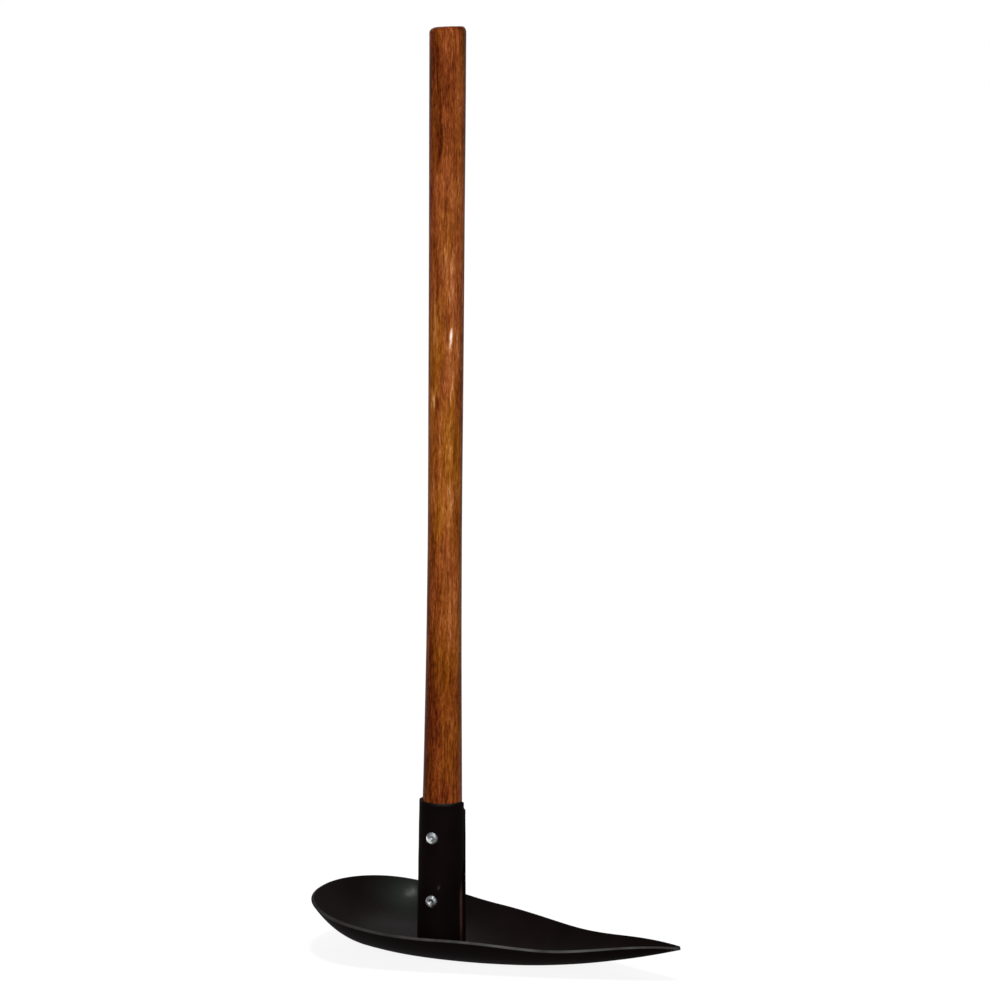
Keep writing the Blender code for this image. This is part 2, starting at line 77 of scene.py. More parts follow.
def sheet_of_quads(name, points, closed=False):
    """A mesh whose corners are an array of (row, column, xyz), joined into one quad per cell.

    A closed sheet's last column is joined to its first. Corners that meet, at a pole or along a
    fold, are merged, and the faces are turned to one side, which is outwards on a closed form.
    """
    rows, columns = points.shape[:2]
    numbers = np.arange(rows * columns).reshape(rows, columns)
    if closed:
        numbers = np.concatenate([numbers, numbers[:, :1]], axis=1)
    corners = (numbers[:-1, :-1], numbers[:-1, 1:], numbers[1:, 1:], numbers[1:, :-1])
    quads = np.stack([corner.ravel() for corner in corners], axis=1)
    mesh = bpy.data.meshes.new(name)
    mesh.from_pydata(points.reshape(-1, 3), [], quads)
    bm = bmesh.new()
    bm.from_mesh(mesh)
    bmesh.ops.remove_doubles(bm, verts=bm.verts, dist=MERGE_DISTANCE)
    bmesh.ops.recalc_face_normals(bm, faces=bm.faces)
    bm.to_mesh(mesh)
    bm.free()
    mesh.shade_smooth()
    return mesh


def read_xyz(items, what):
    """What each corner or face of a mesh has, such as its place, as an array of (item, xyz)."""
    values = np.empty(3 * len(items), dtype=np.float32)
    items.foreach_get(what, values)
    return values.reshape(-1, 3).astype(float)


def set_attribute(mesh, name, values):
    """Keep one number for each corner of a mesh, for its material to read."""
    made = mesh.attributes.new(name, "FLOAT", "POINT")
    made.data.foreach_set("value", np.ascontiguousarray(values, dtype=np.float32))


def set_in_place(mesh, node, material):
    """An object for a finished mesh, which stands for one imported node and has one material."""
    piece = bpy.data.objects.new(mesh.name, mesh)
    bpy.context.scene.collection.objects.link(piece)
    mesh.materials.append(material)
    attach(piece, "root")
    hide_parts(node)
    return piece


def ripple(x, y, z, lengths, seed):
    """Smooth unevenness from -1 to 1: the mean of five sine waves that run in seeded directions.

    lengths are the shortest wavelengths along X, Y and Z.
    """
    waves = np.random.default_rng(seed).uniform(-1.0, 1.0, (5, 4))
    total = 0.0
    for a, b, c, start in waves:
        turns = a * x / lengths[0] + b * y / lengths[1] + c * z / lengths[2]
        total = total + np.sin(2.0 * np.pi * (turns + start))
    return total / len(waves)


def handle_surface():
    """The handle's skin, as rings of points from the middle of its foot to the middle of its top.

    Radius against height: a slow taper up to the mouth, then a swell that falls as the 1.6th power
    to the waist, and then a slow growth to the top. The top's edge is a quarter ellipse, wider on
    the -X side, and the end is sawn a little out of square. Above the mouth the turning left the
    wood slimmer in places, by up to twice TURNING_DENT, and the axis bows by BOW times
    sin(2.5 u^0.75), where u runs from 0 at the mouth to 1 at the top.
    """
    shoulder = HANDLE_TOP - TOP_ROUND
    foot = np.linspace(0.0, 1.0, 4)[:-1]
    inside = np.linspace(0.0, 1.0, 8)[:-1]
    swell = np.linspace(0.0, 1.0, 80)[:-1]
    grip = np.linspace(0.0, 1.0, 110)
    radius = np.concatenate([
        (FOOT_RADIUS - FOOT_CHAMFER) * foot,
        FOOT_RADIUS - FOOT_CHAMFER + FOOT_CHAMFER * foot,
        FOOT_RADIUS + (HANDLE_MOUTH_RADIUS - FOOT_RADIUS) * inside,
        WAIST_RADIUS + (HANDLE_MOUTH_RADIUS - WAIST_RADIUS) * (1.0 - swell) ** 1.6,
        WAIST_RADIUS + (TOP_RADIUS - WAIST_RADIUS) * grip ** 1.15,
    ])
    height = np.concatenate([
        HANDLE_FOOT + 0.0 * foot,
        HANDLE_FOOT + FOOT_CHAMFER * foot,
        HANDLE_FOOT + FOOT_CHAMFER + (MOUTH_HEIGHT - HANDLE_FOOT - FOOT_CHAMFER) * inside,
        MOUTH_HEIGHT + (WAIST_HEIGHT - MOUTH_HEIGHT) * swell,
        WAIST_HEIGHT + (shoulder - WAIST_HEIGHT) * grip,
    ])
    angle = np.linspace(0.0, 2.0 * np.pi, 97)[:-1]
    flat = SAWN_RADIUS + SAWN_SHIFT * np.cos(angle)
    over = 0.5 * np.pi * np.linspace(0.0, 1.0, 14)[1:, None]
    top_rim = flat + (TOP_RADIUS - flat) * np.cos(over)
    top_rise = shoulder + TOP_ROUND * np.sin(over) + 0.0 * flat
    disc = np.linspace(1.0, 0.0, 8)[1:, None]
    out = np.concatenate([radius[:, None] + 0.0 * angle, top_rim, disc * flat])
    up = np.concatenate([height[:, None] + 0.0 * angle, top_rise, HANDLE_TOP + 0.0 * disc * flat])
    above = np.clip((up - MOUTH_HEIGHT) / (HANDLE_TOP - MOUTH_HEIGHT), 0.0, 1.0)
    uneven = ripple(np.cos(angle), np.sin(angle), up, lengths=(2.0, 2.0, 90.0 * MM), seed=3)
    out = out * (1.0 - TURNING_DENT * np.minimum(1.0, 8.0 * above) * (1.0 + uneven))
    bow = BOW * np.sin(2.5 * above ** 0.75)
    x = out * np.cos(angle)
    y = out * np.sin(angle)
    near_top = np.clip((up - shoulder) / TOP_ROUND, 0.0, 1.0)
    up = up - near_top * SAWN_SLANT * (1.0 - x / TOP_RADIUS)
    return np.stack([AXIS_X + bow + x, y, DATUM_Z + up], axis=-1)


def linear(hex_colour):
    """Linear RGBA of an sRGB hex colour."""
    parts = [int(hex_colour[i:i + 2], 16) / 255.0 for i in (1, 3, 5)]
    return (*[p / 12.92 if p <= 0.04045 else ((p + 0.055) / 1.055) ** 2.4 for p in parts], 1.0)


def new_finish(name):
    """A named material, with its node tree and its shader, which its section then sets."""
    material = bpy.data.materials.new(name)
    material.use_nodes = True
    return material, material.node_tree, material.node_tree.nodes["Principled BSDF"]


def add(tree, kind, inputs=(), stops=(), **settings):
    """Add a node with its settings, its inputs and, on a colour ramp, its stops.

    inputs pairs a socket with a value or a link. A socket goes by its name, or by its number on
    Math nodes, whose sockets share one name. Each stop is a place and an sRGB hex colour, in
    rising order, and the first two take the places of the stops that a new ramp has.
    """
    made = tree.nodes.new(kind)
    for name, value in settings.items():
        setattr(made, name, value)
    for key, value in dict(inputs).items():
        if isinstance(value, bpy.types.NodeSocket):
            tree.links.new(value, made.inputs[key])
        else:
            made.inputs[key].default_value = value
    for index, (place, colour) in enumerate(stops):
        ramp = made.color_ramp.elements
        stop = ramp[index] if index < 2 else ramp.new(place)
        stop.position = place
        stop.color = linear(colour)
    return made


def grain_scale(width, length):
    """The scale at which a noise draws grains of a width and a length in millimetres, up Z."""
    return (1.0 / (width * MM), 1.0 / (width * MM), 1.0 / (length * MM))


def marks(places, blots):
    """Soft oval marks round the handle's axis: the sum of Gaussians in angle and in height.

    Each blot is its strength, its angle from +X in degrees and its height above the floor in
    millimetres, and then its half-widths in both.
    """
    angle = np.degrees(np.arctan2(places[:, 1], places[:, 0] - AXIS_X))
    height = places[:, 2] / MM
    total = np.zeros(len(places))
    for strength, centre, level, wide, tall in blots:
        turned = (angle - centre + 180.0) % 360.0 - 180.0
        total += strength * np.exp(-(turned / wide) ** 2 - ((height - level) / tall) ** 2)
    return total


# Stained hickory under satin varnish: soft, wandering streaks of orange-brown, ochre and
# red-brown, darker where the stain soaked in, with fine pale and dark flecks, and one small knot.
# Over that lie painted shade down both sides, a painted sheen up the front and a painted glint.
# The varnish lies in low ridges along the grain, so its sheen breaks up into short strokes.
wood, tree, shader = new_finish("stained_hickory_satin_varnish")
place = add(tree, "ShaderNodeTexCoord").outputs["Object"]
centred = add(tree, "ShaderNodeMapping", {
    "Vector": place, "Location": (-AXIS_X, 0.0, 0.0)}).outputs["Vector"]

# The grain wanders sideways by up to 5 mm, in waves some 17 mm across and 71 mm long.
waves = add(tree, "ShaderNodeTexNoise", {
    "Vector": add(tree, "ShaderNodeMapping", {
        "Vector": centred, "Scale": grain_scale(16.667, 71.43)}).outputs["Vector"],
    "Scale": 1.0, "Detail": 2.0}).outputs["Color"]
drift = add(tree, "ShaderNodeVectorMath", {
    "Vector": waves, "Scale": 5.0 * MM}, operation="SCALE").outputs["Vector"]
drifted = add(tree, "ShaderNodeVectorMath", {
    0: centred, 1: drift}, operation="ADD").outputs["Vector"]

# Five noises, each drawn out along the handle: its grains' width and length in millimetres, its
# detail and its roughness. Real fibres are a few tenths of a millimetre wide, which is too fine
# to show, so the fibres and the dark checks are drawn as coarse as they need to be.
grain = {}
for name, width, length, detail, roughness in (
        ("streaks", 3.4, 55.0, 4.0, 0.65),
        ("stain", 12.0, 60.0, 2.0, 0.5),
        ("fibres", 1.5, 7.5, 3.0, 0.7),
        ("hue", 16.0, 90.0, 2.0, 0.5),
        ("checks", 1.3, 30.0, 2.0, 0.5)):
    scaled = add(tree, "ShaderNodeMapping", {
        "Vector": drifted, "Scale": grain_scale(width, length)}).outputs["Vector"]
    grain[name] = add(tree, "ShaderNodeTexNoise", {
        "Vector": scaled, "Scale": 1.0, "Detail": detail, "Roughness": roughness}).outputs["Fac"]

# Three of them add up to the wood's tone, less where the stain soaked in and where shade is
# painted, and more where a sheen and a glint are painted. The tone is read on two ramps of colour,
# a red-brown and an ochre, and the hue's noise passes from one to the other.
stain_and_painted_light = add(tree, "ShaderNodeAttribute", attribute_name="stain_and_painted_light").outputs["Fac"]
tone = add(tree, "ShaderNodeMath", {
    0: grain["streaks"], 1: 0.34}, operation="MULTIPLY").outputs["Value"]
for part, share in ((grain["stain"], 0.25), (grain["fibres"], 0.42), (stain_and_painted_light, -0.10)):
    tone = add(tree, "ShaderNodeMath", {
        0: part, 1: share, 2: tone}, operation="MULTIPLY_ADD").outputs["Value"]
# The near-white top stop of both ramps is there for the painted glint.
red_brown = add(tree, "ShaderNodeValToRGB", {"Fac": tone}, stops=(
    (0.33, "#431504"), (0.42, "#6c2f10"), (0.50, "#8b461e"), (0.58, "#a75f34"),
    (0.67, "#cf9064"), (1.0, "#fff4ea"))).outputs["Color"]
ochre = add(tree, "ShaderNodeValToRGB", {"Fac": tone}, stops=(
    (0.33, "#451a03"), (0.42, "#6e3608"), (0.50, "#8a4c12"), (0.58, "#a26222"),
    (0.67, "#c98a4c"), (1.0, "#fff4ea"))).outputs["Color"]
hue = add(tree, "ShaderNodeMath", {
    0: stain_and_painted_light, 1: -0.03, 2: grain["hue"]}, operation="MULTIPLY_ADD").outputs["Value"]
stained = add(tree, "ShaderNodeMix", {
    "Factor": add(tree, "ShaderNodeMapRange", {
        "Value": hue, "From Min": 0.39, "From Max": 0.63}).outputs["Result"],
    "A": red_brown, "B": ochre}, data_type="RGBA").outputs["Result"]
checked = add(tree, "ShaderNodeMix", {
    "Factor": add(tree, "ShaderNodeMapRange", {
        "Value": grain["checks"],
        "From Min": 0.59, "From Max": 0.67, "To Max": 0.6}).outputs["Result"],
    "A": stained, "B": linear("#3a1406")}, data_type="RGBA").outputs["Result"]

# From 3 mm below the mouth, the wood inside the socket is almost black: partly the socket's
# black dip run in over it, partly painted shade. Down at the foot it turns a dull brown, painted
# lighter there against the deeper shade.
up = add(tree, "ShaderNodeSeparateXYZ", {"Vector": place}).outputs["Z"]
mouth_z = DATUM_Z + MOUTH_HEIGHT
dip_and_painted_shade = add(tree, "ShaderNodeMapRange", {
    "Value": up, "From Min": mouth_z - 3.0 * MM, "From Max": mouth_z - 5.0 * MM,
    "To Max": 0.95}).outputs["Result"]
lighter_towards_foot = add(tree, "ShaderNodeMapRange", {
    "Value": up, "From Min": DATUM_Z + 8.0 * MM, "From Max": DATUM_Z - 18.0 * MM}).outputs["Result"]
dip_and_shade_colour = add(tree, "ShaderNodeValToRGB", {
    "Fac": lighter_towards_foot}, stops=((0.0, "#0c0807"), (1.0, "#4a332b"))).outputs["Color"]
tree.links.new(add(tree, "ShaderNodeMix", {
    "Factor": dip_and_painted_shade, "A": checked, "B": dip_and_shade_colour},
    data_type="RGBA").outputs["Result"], shader.inputs["Base Color"])

tree.links.new(add(tree, "ShaderNodeMapRange", {
    "Value": grain["streaks"], "From Min": 0.35, "From Max": 0.65,
    "To Min": 0.40, "To Max": 0.28}).outputs["Result"], shader.inputs["Roughness"])
ridges = add(tree, "ShaderNodeMath", {
    0: grain["fibres"], 1: 0.6, 2: grain["streaks"]}, operation="MULTIPLY_ADD").outputs["Value"]
tree.links.new(add(tree, "ShaderNodeBump", {
    "Strength": 0.6, "Distance": 0.6 * MM, "Height": ridges}).outputs["Normal"],
    shader.inputs["Normal"])
shader.inputs["Specular IOR Level"].default_value = 0.015

# Where the stain soaked in and where shade is painted, and below zero where the wood stayed pale
# and where a sheen and a glint are painted.
STAIN_AND_LIGHT_MARKS = (
    # The top's -X side, with a fleck and a streak near it.
    (1.0, -112.0, 865.0, 55.0, 105.0),
    (0.9, -74.0, 848.0, 7.0, 9.0),
    (0.8, -87.0, 806.0, 8.0, 24.0),
    # The lower third, with two dark lines of grain.
    (1.15, -125.0, 245.0, 52.0, 150.0),
    (0.8, -65.0, 200.0, 60.0, 120.0),
    (0.9, -59.0, 192.0, 2.8, 42.0),
    (0.8, -44.0, 285.0, 2.8, 28.0),
    # Painted shade down both sides, all the way up, and darker over the top end.
    (0.5, -135.0, 420.0, 30.0, 60.0),
    (1.1, 25.0, 500.0, 26.0, 600.0),
    (1.2, 25.0, 880.0, 30.0, 110.0),
    (1.2, -155.0, 500.0, 20.0, 600.0),
    (2.4, 0.0, 921.0, 1000.0, 5.0),
    # A painted sheen: a paler band up the front.
    (-0.55, -46.0, 520.0, 13.0, 190.0),
    (-0.55, -44.0, 230.0, 13.0, 110.0),
    # The knot, and the pale wood level with it on both sides.
    (2.0, -90.0, 552.0, 5.0, 6.0),
    (1.6, -96.0, 557.0, 4.0, 4.0),
    (-2.2, -106.0, 557.0, 8.0, 7.0),
    (-2.2, 10.0, 554.0, 10.0, 8.0),
    # A painted glint in the varnish, and its tail.
    (-8.0, -46.5, 620.0, 3.4, 5.5),
    (-3.5, -50.0, 609.0, 2.6, 2.5),
)

turned_handle = sheet_of_quads("handle_piece", handle_surface(), closed=True)
set_attribute(
    turned_handle, "stain_and_painted_light", marks(read_xyz(turned_handle.vertices, "co"), STAIN_AND_LIGHT_MARKS))
set_in_place(turned_handle, "handle", wood)


# Blade: one leaf of steel sheet, pressed into a dish with a round heel and a narrow point, then
# dipped in satin black paint. Its sheared edge is left square and only eased.

SHEET = 3.0 * MM
EDGE_ROUND = 0.6 * MM
HEEL_REACH = 129.8 * MM
SHOULDER_REACH = 55.0 * MM
HALF_BREADTH = 92.8 * MM
POINT_REACH = 254.6 * MM
PLAN_CONTROLS = np.array([
    [(-55.0, 92.8), (-18.5, 92.8), (-5.7, 86.62), (82.3, 61.1)],
    [(82.3, 61.1), (147.3, 42.25), (154.9, 39.1), (254.6, 2.1)],
]) * MM
RIM_CONTROLS = np.array([
    [(-129.8, -14.8), (-62.3, -24.97), (-28.1, -34.716), (31.1, -35.9)],
    [(31.1, -35.9), (78.5, -36.848), (107.4, -42.2), (135.5, -42.2)],
    [(135.5, -42.2), (175.7, -42.2), (203.6, -33.548), (254.6, -35.6)],
]) * MM
FLOOR_LOW_REACH = 42.1 * MM
FLOOR_LOW = -67.7 * MM
FLOOR_RADIUS = 709.8 * MM
DISH_FULLNESS = 3.1
PRESSING_DENT = 0.12 * MM
RIM_BAND = 0.007


def curve_height(controls, reach):
    """Height of a chain of cubic Bezier segments at each reach, read off 400 points a segment."""
    t = np.linspace(0.0, 1.0, 400)[:, None]
    a, b, c, d = controls[:, :, None, :].transpose(1, 0, 2, 3)
    line = (1 - t) ** 3 * a + 3 * (1 - t) ** 2 * t * b + 3 * (1 - t) * t * t * c + t ** 3 * d
    line = line.reshape(-1, 2)
    return np.interp(reach, line[:, 0], line[:, 1])


def dish_height(x, y):
    """Height of the dish's upper surface.

    On the flanks, the floor's arc plus the wall's rise times rho to the power DISH_FULLNESS, where
    rho is the share of the way from the centre line to the rim. Behind the shoulder, rho is the
    elliptical distance from the shoulder's middle, and the floor's slope fades out to the rim. The
    rim's own slope at the shoulder is read off one millimetre of it.
    """
    back = x + SHOULDER_REACH
    floor = FLOOR_LOW + (x - FLOOR_LOW_REACH) ** 2 / (2.0 * FLOOR_RADIUS)
    rim = curve_height(RIM_CONTROLS, x)
    rho = np.minimum(np.abs(y) / curve_height(PLAN_CONTROLS, x), 1.0)
    flank = floor + (rim - floor) * rho ** DISH_FULLNESS
    rho = np.minimum(np.hypot(back / (HEEL_REACH - SHOULDER_REACH), y / HALF_BREADTH), 1.0)
    shoulder_rim, beside = curve_height(
        RIM_CONTROLS, np.array([-SHOULDER_REACH, MM - SHOULDER_REACH]))
    shoulder_floor = FLOOR_LOW + (SHOULDER_REACH + FLOOR_LOW_REACH) ** 2 / (2.0 * FLOOR_RADIUS)
    lean = -(SHOULDER_REACH + FLOOR_LOW_REACH) / FLOOR_RADIUS - (beside - shoulder_rim) / MM
    heel = rim - (shoulder_rim - shoulder_floor) * (1.0 - rho ** DISH_FULLNESS)
    heel = heel + lean * back * (1.0 - rho ** 2)
    return np.where(back >= 0.0, flank, heel)


def blade_surface():
    """The dish's upper surface, with the stations going round the heel and then out to the point.

    Each station runs from the rim on one side, over the centre line, to the rim on the other, and
    the last steps before each rim are close together. The pressing left it slightly uneven.
    """
    turn = 0.5 * np.pi * np.linspace(0.0, 1.0, 60)
    out = 1.0 - (1.0 - np.linspace(0.0, 1.0, 150)[1:]) ** 1.25
    flank_x = -SHOULDER_REACH + (POINT_REACH + SHOULDER_REACH) * out
    share = np.concatenate([np.linspace(0.0, 0.985, 46), [1.0 - RIM_BAND, 1.0]])
    share = np.concatenate([-share[:0:-1], share])
    across = np.abs(share)
    heel_x = -SHOULDER_REACH - across * (HEEL_REACH - SHOULDER_REACH) * np.cos(turn)[:, None]
    heel_y = share * HALF_BREADTH * np.sin(turn)[:, None]
    flank_y = share * curve_height(PLAN_CONTROLS, flank_x)[:, None]
    x = np.concatenate([heel_x, flank_x[:, None] + 0.0 * share])
    y = np.concatenate([heel_y, flank_y])
    uneven = ripple(x, y, x, lengths=(70.0 * MM, 60.0 * MM, 90.0 * MM), seed=8)
    pressed = PRESSING_DENT * (1.0 + uneven) * (1.0 - across ** 6)
    return np.stack([AXIS_X + x, y, DATUM_Z + dish_height(x, y) + pressed], axis=-1)


def rim_nearness(places):
    """One on the blade's rim, falling to nothing RIM_BAND of the way in to the centre line."""
    x = places[:, 0] - AXIS_X
    y = np.abs(places[:, 1])
    heel = np.hypot((x + SHOULDER_REACH) / (HEEL_REACH - SHOULDER_REACH), y / HALF_BREADTH)
    share = np.where(x < -SHOULDER_REACH, heel, y / curve_height(PLAN_CONTROLS, x))
    point_tip = x > POINT_REACH - 0.3 * MM
    return np.where(point_tip, 1.0, np.clip((share - 1.0 + RIM_BAND) / RIM_BAND, 0.0, 1.0))


def face_towards(mesh, directions):
    """Turn an open sheet over if its faces, on the whole, point against the directions given."""
    if (read_xyz(mesh.polygons, "normal") * directions).sum() < 0.0:
        mesh.flip_normals()


def thicken(piece, offset):
    """Give an open sheet its thickness and ease its edges.

    An offset of -1 adds it all behind the faces, and 0 adds half of it on each side.
    """
    wall = piece.modifiers.new("sheet", "SOLIDIFY")
    wall.thickness = SHEET
    wall.offset = offset
    wall.use_even_offset = True
    edge = piece.modifiers.new("eased edges", "BEVEL")
    edge.width = EDGE_ROUND
    edge.segments = 3
    edge.limit_method = "ANGLE"
    edge.angle_limit = math.radians(50.0)
    edge.harden_normals = True


# Satin black paint on steel: near black with a hint of brown, with the fine skin that dipped
# paint has. In the heel the dip pooled and dried thick, so it is glossier there, and a grey-green
# sheen is painted round that spot. It turns grey where its edge attribute says: wear on sheared
# edges, with a painted highlight along the blade's rim and the socket's lip.
paint, tree, shader = new_finish("satin_black_dipped_paint")
place = add(tree, "ShaderNodeTexCoord").outputs["Object"]
skin = add(tree, "ShaderNodeTexNoise", {
    "Vector": place, "Scale": 1.0 / (2.6 * MM), "Detail": 3.0, "Roughness": 0.6}).outputs["Fac"]
cloud = add(tree, "ShaderNodeTexNoise", {
    "Vector": place, "Scale": 1.0 / (34.0 * MM), "Detail": 3.0}).outputs["Fac"]
black = add(tree, "ShaderNodeValToRGB", {
    "Fac": cloud}, stops=((0.3, "#060303"), (0.7, "#0c0606"))).outputs["Color"]

# Specks of dust, which are finer on the real paint and are drawn 1.5 mm apart so that they show.
dust = add(tree, "ShaderNodeTexNoise", {
    "Vector": place, "Scale": 1.0 / (1.5 * MM), "Detail": 1.0}).outputs["Fac"]
dusty = add(tree, "ShaderNodeMix", {
    "Factor": add(tree, "ShaderNodeMapRange", {
        "Value": dust, "From Min": 0.74, "From Max": 0.80, "To Max": 0.25}).outputs["Result"],
    "A": black, "B": linear("#2a2624")}, data_type="RGBA").outputs["Result"]

# The pool lay high on the heel's +Y wall. Its gloss, and the grey-green sheen painted round it,
# fade with the distance from it.
gloss_and_sheen_centre = (AXIS_X - 75.0 * MM, 79.0 * MM, DATUM_Z - 42.0 * MM)
off_gloss_and_sheen = add(tree, "ShaderNodeVectorMath", {
    0: place, 1: gloss_and_sheen_centre}, operation="DISTANCE").outputs["Value"]
near_painted_sheen = add(tree, "ShaderNodeMapRange", {
    "Value": off_gloss_and_sheen, "From Min": 100.0 * MM, "From Max": 0.0}).outputs["Result"]
painted_sheen_share = add(tree, "ShaderNodeMath", {
    0: near_painted_sheen, 1: 4.5}, operation="POWER").outputs["Value"]
# The grey-green painted sheen, strongest at the pool's middle.
dusty_with_painted_sheen = add(tree, "ShaderNodeMix", {
    "Factor": painted_sheen_share, "A": dusty, "B": linear("#2b312d")}, data_type="RGBA").outputs["Result"]

# The grey is uneven, and stronger towards the blade's point, where the rim's painted highlight
# is brightest.
wear_and_edge_highlight = add(tree, "ShaderNodeAttribute", attribute_name="wear_and_edge_highlight").outputs["Fac"]
uneven = add(tree, "ShaderNodeMapRange", {
    "Value": cloud, "From Min": 0.35, "From Max": 0.60,
    "To Min": 0.35, "To Max": 0.9}).outputs["Result"]
towards_point = add(tree, "ShaderNodeMapRange", {
    "Value": add(tree, "ShaderNodeSeparateXYZ", {"Vector": place}).outputs["X"],
    "From Min": AXIS_X - 70.0 * MM, "From Max": AXIS_X + 90.0 * MM,
    "To Min": 0.35}).outputs["Result"]
worn_and_highlit = wear_and_edge_highlight
for share in (uneven, towards_point):
    worn_and_highlit = add(tree, "ShaderNodeMath", {
        0: worn_and_highlit, 1: share}, operation="MULTIPLY").outputs["Value"]
tree.links.new(add(tree, "ShaderNodeMix", {
    "Factor": worn_and_highlit, "A": dusty_with_painted_sheen, "B": linear("#434241")},
    data_type="RGBA").outputs["Result"], shader.inputs["Base Color"])

dulled = add(tree, "ShaderNodeMapRange", {
    "Value": off_gloss_and_sheen, "From Min": 18.0 * MM, "From Max": 135.0 * MM,
    "To Min": 0.15, "To Max": 0.68}).outputs["Result"]
tree.links.new(add(tree, "ShaderNodeMath", {
    0: cloud, 1: 0.06, 2: dulled},
    operation="MULTIPLY_ADD").outputs["Value"], shader.inputs["Roughness"])
tree.links.new(add(tree, "ShaderNodeBump", {
    "Strength": 0.25, "Distance": 0.12 * MM, "Height": skin}).outputs["Normal"],
    shader.inputs["Normal"])
shader.inputs["Specular IOR Level"].default_value = 0.016

pressed_leaf = sheet_of_quads("blade_piece", blade_surface())
face_towards(pressed_leaf, (0.0, 0.0, 1.0))
# The rim band turns grey: partly wear, partly a painted highlight along the edge.
set_attribute(pressed_leaf, "wear_and_edge_highlight", rim_nearness(read_xyz(pressed_leaf.vertices, "co")))
thicken(set_in_place(pressed_leaf, "blade", paint), offset=-1.0)


# Socket: a rectangular blank rolled round the handle and left open along one seam that faces the
# point. Its foot is cut to the dish's floor. It wears the same paint, greyed at the mouth's lip
# for wear and for a painted highlight.

SOCKET_MOUTH_RADIUS = 23.0 * MM
SOCKET_FOOT_RADIUS = 24.5 * MM
SEAM_FAR_SIDE = 4.5 * MM
SEAM_NEAR_SIDE = -1.5 * MM
SEAM_FOOT_FAR_SIDE = 8.25 * MM
SEAM_FOOT_NEAR_SIDE = 6.5 * MM
FLARE_TOP = 36.0 * MM
FLARE_HEIGHT = 50.0 * MM
NEAR_CORNER = 2.5 * MM
FAR_CORNER_WIDTH = 34.0 * MM
FAR_CORNER_HEIGHT = 11.0 * MM
CORNER_COLUMNS = 17
SEAT_GAP = 0.3 * MM
ROLLING_DENT = 0.15 * MM
FLOOR_AT_AXIS = float(dish_height(np.array(0.0), np.array(0.0)))

# Two marks, as on the handle: the mouth's lip, worn and with a painted highlight on its -Y side,
# and a small scuff above the lower rivet.
MOUTH_RUB_AND_HIGHLIGHT = (0.75, -62.0, 155.7, 26.0, 1000.0)
SCUFF = (0.9, -72.6, 71.9, 2.8, 1.4)


def socket_radius(z):
    """The socket's outer radius, which grows evenly from its mouth to its foot."""
    down = (MOUTH_HEIGHT - z) / (MOUTH_HEIGHT - FLOOR_AT_AXIS)
    return SOCKET_MOUTH_RADIUS + (SOCKET_FOOT_RADIUS - SOCKET_MOUTH_RADIUS) * down


def socket_surface():
    """The middle of the socket's sheet, with one column for each place across the blank.

    A column's angle runs from one side of the seam round to the other, and its foot is the dish's
    height under it. As each depends on the other, both are worked out four times. Both sides of
    the seam part as the smooth step 3s^2 - 2s^3 down the flare. The near top corner is a quarter
    circle, whose columns crowd together as the cosine of their angle, and the far one falls as the
    cube of the nearness to the seam.
    """
    width = 2.0 * np.pi * (SOCKET_MOUTH_RADIUS - 0.5 * SHEET) - SEAM_FAR_SIDE - SEAM_NEAR_SIDE
    corner = 0.5 * np.pi * np.linspace(0.0, 1.0, CORNER_COLUMNS)
    far = FAR_CORNER_WIDTH / width * (1.0 - np.cos(corner))
    near = 1.0 - NEAR_CORNER / width * (1.0 - np.cos(corner))
    share = np.concatenate([far, np.linspace(far[-1], near[-1], 130)[1:-1], near[::-1]])
    drop = np.zeros_like(share)
    drop[:CORNER_COLUMNS] = FAR_CORNER_HEIGHT * (1.0 - (1.0 - np.cos(corner)) ** 3)
    drop[-CORNER_COLUMNS:] = NEAR_CORNER * (1.0 - np.sin(corner[::-1]))
    up = np.linspace(0.0, 1.0, 60)[:, None]
    angle = 2.0 * np.pi * share + 0.0 * up
    for _ in range(4):
        foot = dish_height(SOCKET_FOOT_RADIUS * np.cos(angle), SOCKET_FOOT_RADIUS * np.sin(angle))
        z = foot + SEAT_GAP + (MOUTH_HEIGHT - drop - foot - SEAT_GAP) * up
        radius = socket_radius(z) - 0.5 * SHEET
        flare = np.clip((FLARE_TOP - z) / FLARE_HEIGHT, 0.0, 1.0)
        flare = flare * flare * (3.0 - 2.0 * flare)
        far_side = SEAM_FAR_SIDE + (SEAM_FOOT_FAR_SIDE - SEAM_FAR_SIDE) * flare
        near_side = SEAM_NEAR_SIDE + (SEAM_FOOT_NEAR_SIDE - SEAM_NEAR_SIDE) * flare
        start = np.arcsin(far_side / radius)
        end = np.arcsin(near_side / radius)
        angle = start + (2.0 * np.pi - start - end) * share
    uneven = ripple(radius * angle, z, z, lengths=(40.0 * MM, 50.0 * MM, 60.0 * MM), seed=5)
    radius = radius + ROLLING_DENT * uneven
    return np.stack([AXIS_X + radius * np.cos(angle), radius * np.sin(angle), DATUM_Z + z], axis=-1)


def socket_wear_and_highlight(places):
    """How far the socket's paint turns grey: worn and painted highlight on its mouth's top
    millimetre, worn in the scuff.
    """
    depth = DATUM_Z + MOUTH_HEIGHT - places[:, 2]
    return np.clip(1.0 - depth / MM, 0.0, 1.0) * marks(places, [MOUTH_RUB_AND_HIGHLIGHT]) + marks(places, [SCUFF])


rolled_blank = sheet_of_quads("socket_piece", socket_surface())
from_axis = read_xyz(rolled_blank.polygons, "center") - (AXIS_X, 0.0, 0.0)
face_towards(rolled_blank, from_axis * (1.0, 1.0, 0.0))
set_attribute(rolled_blank, "wear_and_edge_highlight", socket_wear_and_highlight(read_xyz(rolled_blank.vertices, "co")))
thicken(set_in_place(rolled_blank, "socket", paint), offset=0.0)


